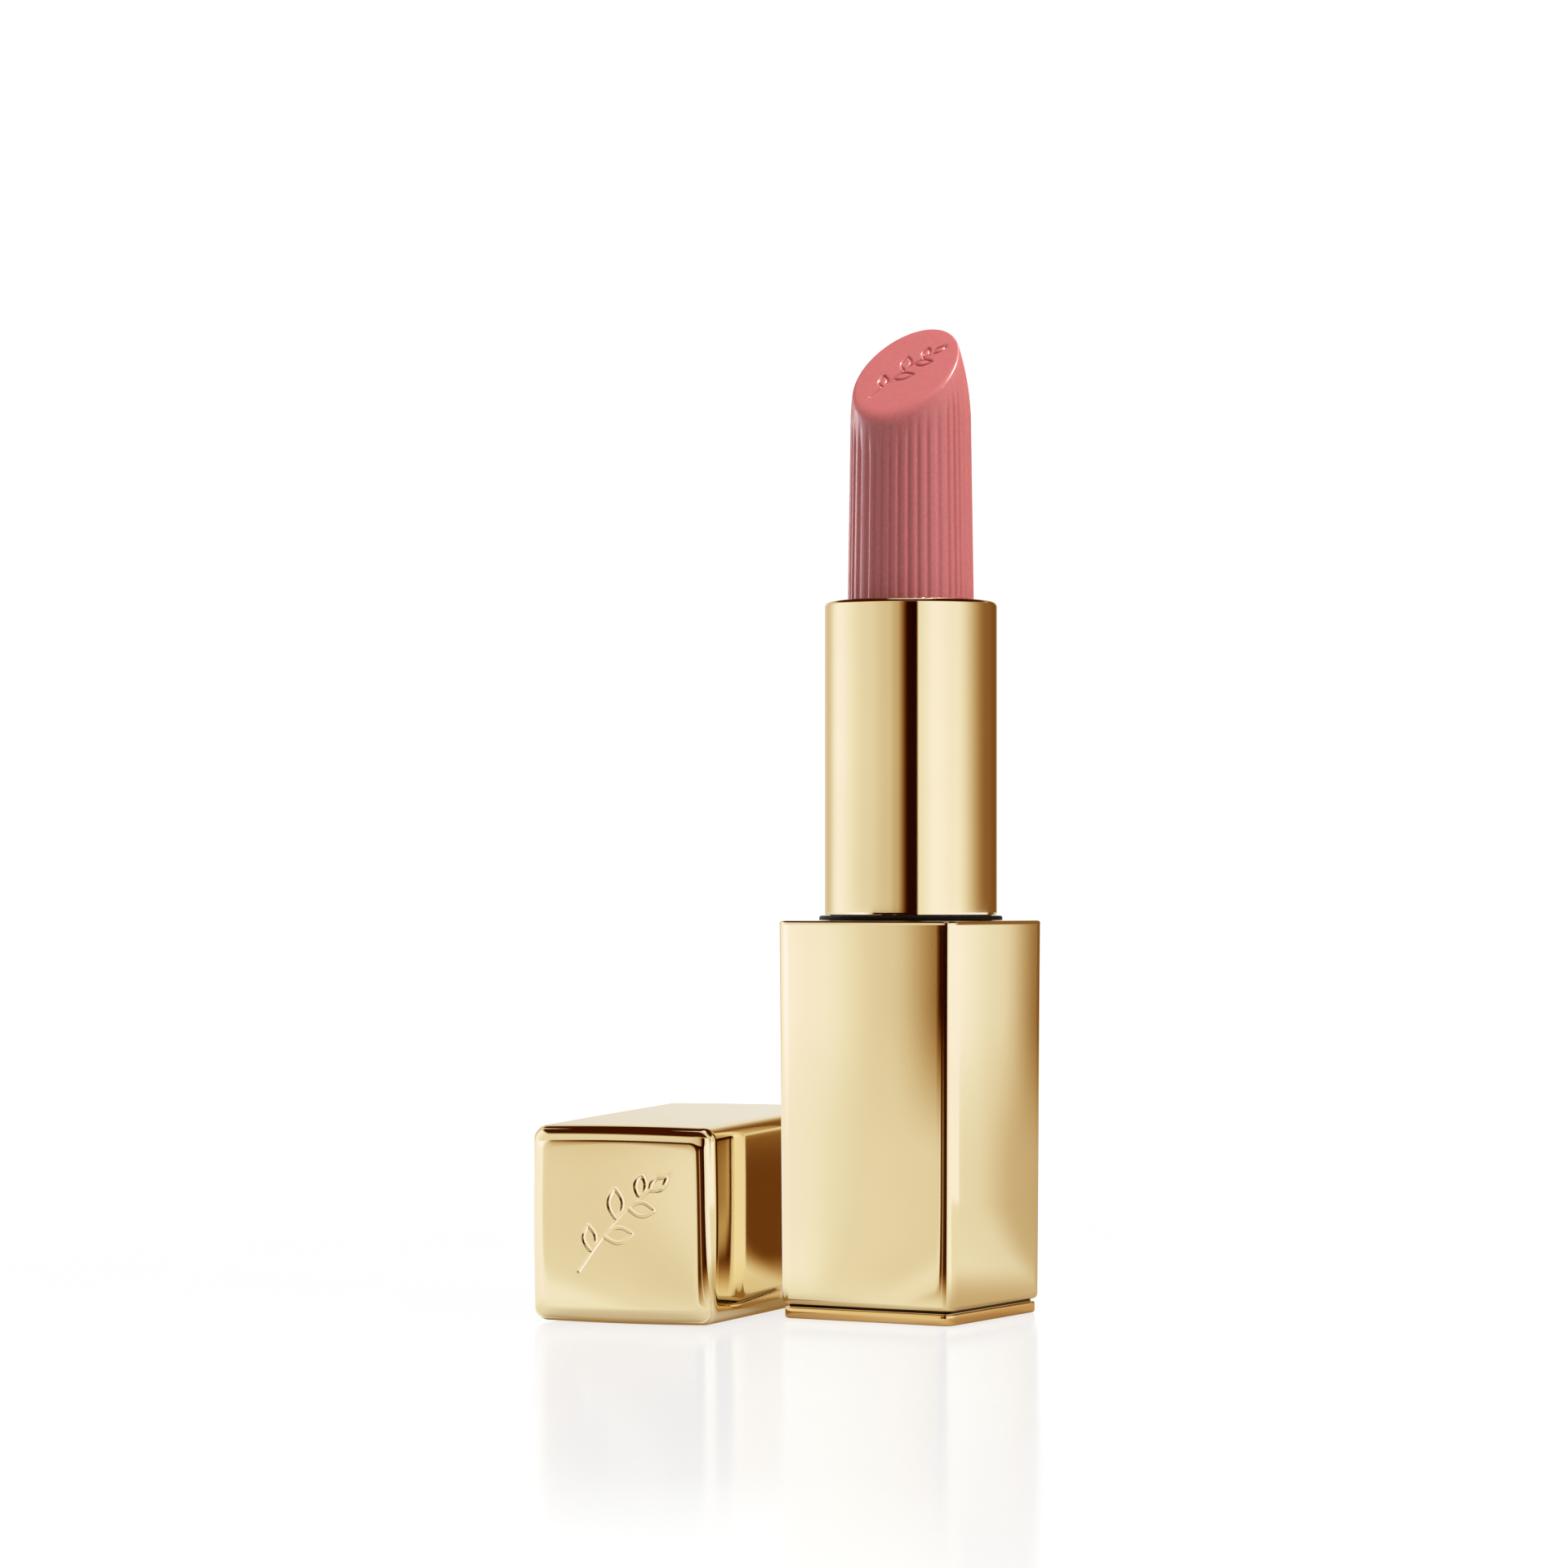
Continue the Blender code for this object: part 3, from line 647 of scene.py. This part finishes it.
def cap_shell(material):
    """The square gold cap: an open mouth, crowned sides and a closed end with an engraved sprig."""
    edge, lip = CAP_END_ROUND, 0.15 * MM
    bottom, corner = CAP_LENGTH - CAP_END_WALL, EDGE_ROUND - CAP_WALL

    def ring(z, inset=0.0):
        return at_height(square_outline(cap_half(z) - inset, EDGE_ROUND - 0.3 * inset, cap_crown(z)), z)

    def inner(z, at, share=1):
        return at_height(square_outline((cap_half(z) - CAP_WALL) * share, corner), at)

    rings = [inner(bottom, bottom, 0.4), inner(bottom, bottom), inner(0, lip * 0.5)]
    rings += [ring(drop, inset) for inset, drop in rounded_stack(lip, 4)]
    rings += [ring(z) for z in np.linspace(lip + 0.1 * MM, CAP_LENGTH - edge - 0.1 * MM, 20)]
    rings += [ring(CAP_LENGTH - drop, inset) for inset, drop in reversed(rounded_stack(edge, 12))]
    rim = rings[-1][:, :2]
    plain_rings, carved_rings = 5, 104
    circle = circle_like(rim, 7.2 * MM)
    for k in range(1, plain_rings + 1):
        rings.append(at_height(rim + (circle - rim) * k / plain_rings, CAP_LENGTH))
    for k in range(1, carved_rings):
        flat = circle * (1 - k / carved_rings)
        sunk = engraved(flat[:, 0], flat[:, 1], size=10.5 * MM, depth=0.07 * MM, width=0.12 * MM)
        rings.append(np.column_stack([flat, CAP_LENGTH - sunk]))
    points, faces = skin_rings(rings, fill_first=True, fill_last=True)
    add_piece("gold_cap", in_cap(points), faces, material, "cap", ["cap_shell"])


# ---------------------------------------------------------------- CAD nodes that keep their shape


def paint_cad_nodes(finishes):
    """Gives each carried-over CAD node the finish of its slot."""
    for part in frame["record"]["subparts"]:
        if part["material_slot"] in finishes:
            materials = frame["nodes"][part["node"]].data.materials
            for index in range(len(materials)):
                materials[index] = finishes[part["material_slot"]]


def keep_cap_out_of_reflections():
    """The photographed case doesn't mirror the cap beside it."""
    for name in [*frame["record"]["behaviour"]["bodies"]["cap"], "gold_cap"]:
        bpy.data.objects[name].visible_glossy = False


# ---------------------------------------------------------------- studio


TENT_RADIUS = 160 * MM
WALL_TOP = 135 * MM
DOME_CENTRE = 30 * MM
FOOT_FADE = (5 * MM, 27 * MM)  # heights between which FOOT_WALL gives way to BASE_WALL
SLEEVE_FADE = (39.0 * MM, 39.8 * MM)  # and BASE_WALL to SLEEVE_WALL

# The wall's brightness at angles round it, in degrees from the camera's direction, right positive.
# A flag hangs in front of the camera, and softboxes stand to its left, to its right and behind.
SLEEVE_WALL = [
    (-180, 0.85), (-145, 0.70), (-112, 1.02), (-60, 0.83), (-30, 0.72), (-20, 0.60), (-5, 0.02),
    (5.5, 0.015), (9, 0.9), (30, 1.02), (58, 0.96), (118, 0.27), (150, 0.20), (180, 0.85),
]
BASE_WALL = [
    (-180, 0.86), (-148, 0.75), (-110, 1.0), (-67, 1.12), (-60.5, 0.98), (-55.5, 0.78),
    (-49.5, 0.05), (-45, 0.03), (5.5, 0.015), (9, 0.92), (30, 1.03), (115, 1.02), (119.5, 0.85),
    (124, 0.24), (128, 0.18), (138, 0.22), (150, 0.80), (180, 0.86),
]
FOOT_WALL = [
    (-180, 0.98), (-100, 0.98), (-68, 1.0), (-62.5, 0.97), (-57, 0.84), (-50, 0.80), (-45, 0.88),
    (-42, 0.82), (-38, 0.10), (-27, 0.08), (-22.8, 0.58), (-18, 0.08), (5.5, 0.02), (9, 0.9),
    (30, 1.02), (50, 1.02), (112, 1.02), (117, 0.84), (121.5, 0.62), (124, 0.58), (136, 0.60),
    (146, 0.7), (154, 0.16), (172, 0.16), (180, 0.8),
]


def smooth_between(angles, stops):
    """The stops' brightness at each angle, eased from one stop to the next."""
    places, tones = np.array(stops, float).T
    index = np.clip(np.searchsorted(places, angles, side="right") - 1, 0, len(places) - 2)
    share = smoothstep((angles - places[index]) / (places[index + 1] - places[index]))
    return tones[index] * (1 - share) + tones[index + 1] * share


def blended(low, high, share):
    """The low value where the share is 0, and the high one where it is 1."""
    return low * (1 - share) + high * share


def wall_tone(degrees, height):
    """The wall's brightness at a height, from the three tables."""
    tone = smooth_between(degrees, FOOT_WALL)
    for (start, end), wall in ((FOOT_FADE, BASE_WALL), (SLEEVE_FADE, SLEEVE_WALL)):
        share = smoothstep((height - start) / (end - start))
        tone = blended(tone, smooth_between(degrees, wall), share)
    return tone


def dome_tone(elevation):
    """Dim cloth above the walls, then a dark ceiling with a round softbox overhead."""
    cloth = 0.5 * smoothstep((43 - elevation) / 6)
    softbox = smoothstep((elevation - 76) / 3)
    return 0.05 + cloth + softbox


def tinted(tone):
    """The colour of each brightness: cool where it is bright and warm where it is dim."""
    green = tone * np.minimum(1.0, 1.06 * tone**0.62)
    blue = 1.14 * tone**2.6
    return np.column_stack([tone, green, blue, np.ones(len(tone))])


def round_camera(degrees):
    """Flat unit vectors at angles from the camera's direction, right positive."""
    angles = np.radians(degrees)[:, None]
    return (np.sin(angles) * np.array(CAMERA_RIGHT) - np.cos(angles) * np.array(CAMERA_AHEAD))[:, :2]


def stage_sheet(name, rings, tones, material, fill_first=False):
    """Part of the set, which carries its tones in its points. It isn't yet given to the stage."""
    points, faces = skin_rings(rings, fill_first=fill_first)
    mesh = bpy.data.meshes.new(name)
    mesh.from_pydata([tuple(p) for p in points], [], [face[::-1] for face in faces])
    layer = mesh.color_attributes.new("tone", "FLOAT_COLOR", "POINT")
    layer.data.foreach_set("color", tinted(tones).astype(np.float32).ravel())
    mesh.materials.append(material)
    sheet = bpy.data.objects.new(name, mesh)
    bpy.context.scene.collection.objects.link(sheet)
    return sheet


def tent_finish():
    """Glows with its tones toward the set, and is clear from outside."""
    n = Nodes("light_tent")
    glow, clear = n.add("Emission"), n.add("BsdfTransparent")
    n.link(n.add("VertexColor", layer_name="tone").outputs["Color"], glow.inputs["Color"])
    return n.finish_with(n.blend(n.add("NewGeometry").outputs["Backfacing"], glow, clear))


def light_tent():
    """Walls of light and flags round the set, seen only in reflections. Dim parts are warmer."""
    degrees = np.arange(1440) / 4 - 180
    circle = round_camera(degrees)
    rings, tones = [], []
    for z in np.concatenate([np.linspace(-1, 60, 62), np.linspace(62, 135, 20)]) * MM:
        rings.append(at_height(circle * TENT_RADIUS, z))
        tones.append(wall_tone(degrees, z))
    start = math.degrees(math.atan2(WALL_TOP - DOME_CENTRE, TENT_RADIUS))
    reach = TENT_RADIUS / math.cos(math.radians(start))
    for elevation in np.linspace(start, 89.5, 60):
        out, up = math.cos(math.radians(elevation)), math.sin(math.radians(elevation))
        rings.append(at_height(circle * reach * out, DOME_CENTRE + reach * up))
        above = smoothstep((elevation - start) / 5)
        tones.append(blended(wall_tone(degrees, WALL_TOP), dome_tone(elevation), above))
    tent = stage_sheet("light_tent", rings, np.concatenate(tones), tent_finish())
    tent.visible_camera = False
    tent.visible_diffuse = False
    tent.visible_shadow = False
    tent.visible_transmission = False


FLOOR_WHITE = 1.0  # how bright the floor is to the camera, close to the object
FLOOR_FAR_WHITE = 1.25  # and far behind it, where its gloss takes more away
FLOOR_BOUNCE = 0.42  # how bright it is as a light
FLOOR_GLOSS = 0.4
FLOOR_IOR = 1.45
FLOOR_DEPTH, MIRROR_DEPTH = 0.02 * MM, 0.05 * MM

# How bright the gold sees the floor near the object, at angles as in the wall's tables.
# Further out it takes the wall's foot tones, so that the two meet without a line.
# Near the object these tones are mostly lower than further out: painted shade on the floor.
NEAR_FLOOR = [(-180, 0.8), (-120, 0.87), (-20, 0.87), (10, 0.74), (32, 0.6), (160, 0.6), (180, 0.8)]
NEAR_RADIUS, FAR_RADIUS = 24 * MM, 70 * MM
FAR_LIMIT = 0.86  # the brightest that the far floor is, from 40 to 117 degrees


def floor_tones():
    """Rings of points out to the horizon, and how bright the gold sees the floor at each."""
    degrees = np.arange(720) / 2 - 180
    circle = round_camera(degrees)
    near = smooth_between(degrees, NEAR_FLOOR)
    far = smooth_between(
        degrees, [(turn, min(tone, FAR_LIMIT) if 40 < turn < 117 else tone) for turn, tone in FOOT_WALL]
    )
    rings, tones = [], []
    for radius in np.concatenate([np.linspace(5, 160, 60), np.geomspace(180, 3000, 16)]) * MM:
        rings.append(at_height(circle * radius, 0.0))
        tones.append(blended(near, far, smoothstep((radius - NEAR_RADIUS) / (FAR_RADIUS - NEAR_RADIUS))))
    under_case = NEAR_FLOOR[1][1]
    return rings, np.append(np.concatenate(tones), under_case)


def acrylic_body(n, camera_ray):
    """Lit white acrylic: its glow is one brightness to the camera and another as a light."""
    diffuse, glow, body = n.add("BsdfDiffuse"), n.add("Emission"), n.add("AddShader")
    haze = n.ramp(n.noise(40, 2), (0.3, (0.055, 0.055, 0.055)), (0.7, (0.065, 0.065, 0.065)))
    n.link(haze, diffuse.inputs["Color"])
    distance = n.add("VectorMath", operation="LENGTH")
    n.link(n.coordinates, distance.inputs[0])
    strength = n.add("Mix", data_type="FLOAT")
    strength.inputs["A"].default_value = FLOOR_BOUNCE
    white = n.spread(distance.outputs["Value"], FLOOR_WHITE, FLOOR_FAR_WHITE, from_low=0.12, from_high=0.5)
    n.link(white, strength.inputs["B"])
    n.link(camera_ray, strength.inputs["Factor"])
    n.link(strength.outputs["Result"], glow.inputs["Strength"])
    n.link(diffuse.outputs[0], body.inputs[0])
    n.link(glow.outputs[0], body.inputs[1])
    return body


def clear_share(n, camera_ray):
    """How much of the floor's clear skin shows what is under it: Fresnel, for the camera only."""
    fresnel = n.add("Fresnel")
    fresnel.inputs["IOR"].default_value = FLOOR_IOR
    gloss, share = n.add("Math", operation="MULTIPLY"), n.add("Math", operation="MULTIPLY")
    gloss.inputs[1].default_value = FLOOR_GLOSS
    n.link(fresnel.outputs[0], gloss.inputs[0])
    n.link(gloss.outputs[0], share.inputs[0])
    n.link(camera_ray, share.inputs[1])
    return share.outputs[0]


def floor_in_gold(n):
    """The floor as the gold sees it: its tones, with painted shade, darker and warmer, close under the
    object.
    """
    # Painted shade: ambient occlusion darkens and warms the glow near the pieces.
    open_air = n.add("AmbientOcclusion", samples=8)
    open_air.inputs["Distance"].default_value = 16 * MM
    shade = n.ramp(open_air.outputs["AO"], (0.1, (0.36, 0.20, 0.05)), (0.85, (1.0, 1.0, 1.0)))
    shaded, glow = n.add("Mix", data_type="RGBA", blend_type="MULTIPLY"), n.add("Emission")
    shaded.inputs["Factor"].default_value = 1.0
    n.link(n.add("VertexColor", layer_name="tone").outputs["Color"], shaded.inputs["A"])
    n.link(shade, shaded.inputs["B"])
    n.link(shaded.outputs["Result"], glow.inputs["Color"])
    return glow


def floor_finish():
    """White acrylic whose gloss is a mirror under a clear skin, so it shows the set without its flags."""
    n = Nodes("white_acrylic")
    path = n.add("LightPath")
    camera_ray = path.outputs["Is Camera Ray"]
    clear = n.add("BsdfRefraction")
    clear.inputs["IOR"].default_value = 1.0
    clear.inputs["Roughness"].default_value = 0.0
    skin = n.blend(clear_share(n, camera_ray), acrylic_body(n, camera_ray), clear)
    above = n.blend(path.outputs["Is Glossy Ray"], skin, floor_in_gold(n))
    return n.finish_with(n.blend(n.add("NewGeometry").outputs["Backfacing"], above, clear))


def mirror_finish():
    """A soft mirror with slightly uneven gloss."""
    n = Nodes("floor_mirror")
    gloss = n.add("BsdfGlossy")
    n.link(n.spread(n.noise(40, 2), 0.13, 0.15), gloss.inputs["Roughness"])
    return n.finish_with(gloss)


def floor():
    """A lit white acrylic sheet, and the mirror just below its skin that gives its soft reflection."""
    rings, tones = floor_tones()
    sheets = (("floor", FLOOR_DEPTH, floor_finish()), ("floor_mirror", MIRROR_DEPTH, mirror_finish()))
    for name, depth, material in sheets:
        sheet = stage_sheet(name, rings, tones, material, fill_first=True)
        sheet.location.z = -depth


def area_light(name, turn, height, distance, size, power, colour=(1, 1, 1)):
    """A softbox at a turn in degrees from the camera's direction, aimed at the bullet."""
    data = bpy.data.lights.new(name, "AREA")
    data.shape = "RECTANGLE"
    data.size, data.size_y = size
    data.energy = power
    data.color = colour
    light = bpy.data.objects.new(name, data)
    angle = math.radians(turn)
    flat = CAMERA_RIGHT * math.sin(angle) - CAMERA_AHEAD * math.cos(angle)
    light.location = flat * distance + Vector((0, 0, height))
    aim = Vector((0, 0, BULLET_MIDDLE)) - light.location
    light.rotation_euler = aim.to_track_quat("-Z", "Y").to_euler()
    light.visible_glossy = False
    light.visible_camera = False
    bpy.context.scene.collection.objects.link(light)
    return light


def lights():
    """Two softboxes for everything, and four small lights that reach only the wax."""
    cool = (0.9, 0.95, 1.0)
    area_light("key", 62, 400 * MM, 360 * MM, size=(0.16, 0.16), power=1.6)
    area_light("top", -30, 600 * MM, 70 * MM, size=(0.12, 0.12), power=1.9)
    edge = area_light("wax_edge", 85, 510 * MM, 300 * MM, size=(0.06, 0.06), power=7.0)
    edge.visible_diffuse = False  # it gives only the bright rim of the cut
    left = area_light("wax_rim_left", -128, 130 * MM, 400 * MM, size=(0.05, 0.3), power=0.8, colour=cool)
    back = area_light("wax_rim_back", 150, 400 * MM, 330 * MM, size=(0.1, 0.1), power=1.1)
    sheen = area_light("wax_sheen", 100, 130 * MM, 400 * MM, size=(0.12, 0.3), power=0.35)
    receivers = bpy.data.collections.new("wax_only")
    receivers.objects.link(bpy.data.objects["lipstick_bullet"])
    for light in (edge, left, back, sheen):
        light.visible_glossy = True
        light.light_linking.receiver_collection = receivers


def world():
    """A plain white background, dim as a light so that the softboxes shape the wax."""
    seen, as_light = 1.05, 0.12
    made = bpy.data.worlds.new("studio")
    bpy.context.scene.world = made
    made.use_nodes = True
    tree = made.node_tree
    background = tree.nodes["Background"]
    path = tree.nodes.new("ShaderNodeLightPath")
    strength = tree.nodes.new("ShaderNodeMapRange")
    strength.inputs["To Min"].default_value = seen
    strength.inputs["To Max"].default_value = as_light
    tree.links.new(path.outputs["Is Diffuse Ray"], strength.inputs["Value"])
    tree.links.new(strength.outputs["Result"], background.inputs["Strength"])
    background.inputs["Color"].default_value = (1, 1, 1, 1)
    bpy.context.scene.view_settings.view_transform = "Standard"


# ---------------------------------------------------------------- build


def main():
    add_camera()
    plate = gold("gold_plate")
    base_shell(plate)
    base_plate(foot_gold())
    collar(dark_lacquer())
    sleeve(plate)
    bullet(lipstick_wax())
    cap_shell(plate)
    white, ivory = (0.84, 0.84, 0.82), (0.76, 0.76, 0.74)
    black, charcoal = (0.016, 0.016, 0.018), (0.03, 0.03, 0.033)
    paint_cad_nodes({
        "white_plastic": moulded_plastic("white_plastic", ivory, white, roughness=0.42),
        "black_plastic": moulded_plastic("black_plastic", black, charcoal, roughness=0.4),
        "steel": bare_steel(),
        "nickel": nickel(),
        "silicone": silicone(),
        "paper": paper(),
    })
    keep_cap_out_of_reflections()
    floor()
    light_tent()
    lights()
    world()


main()
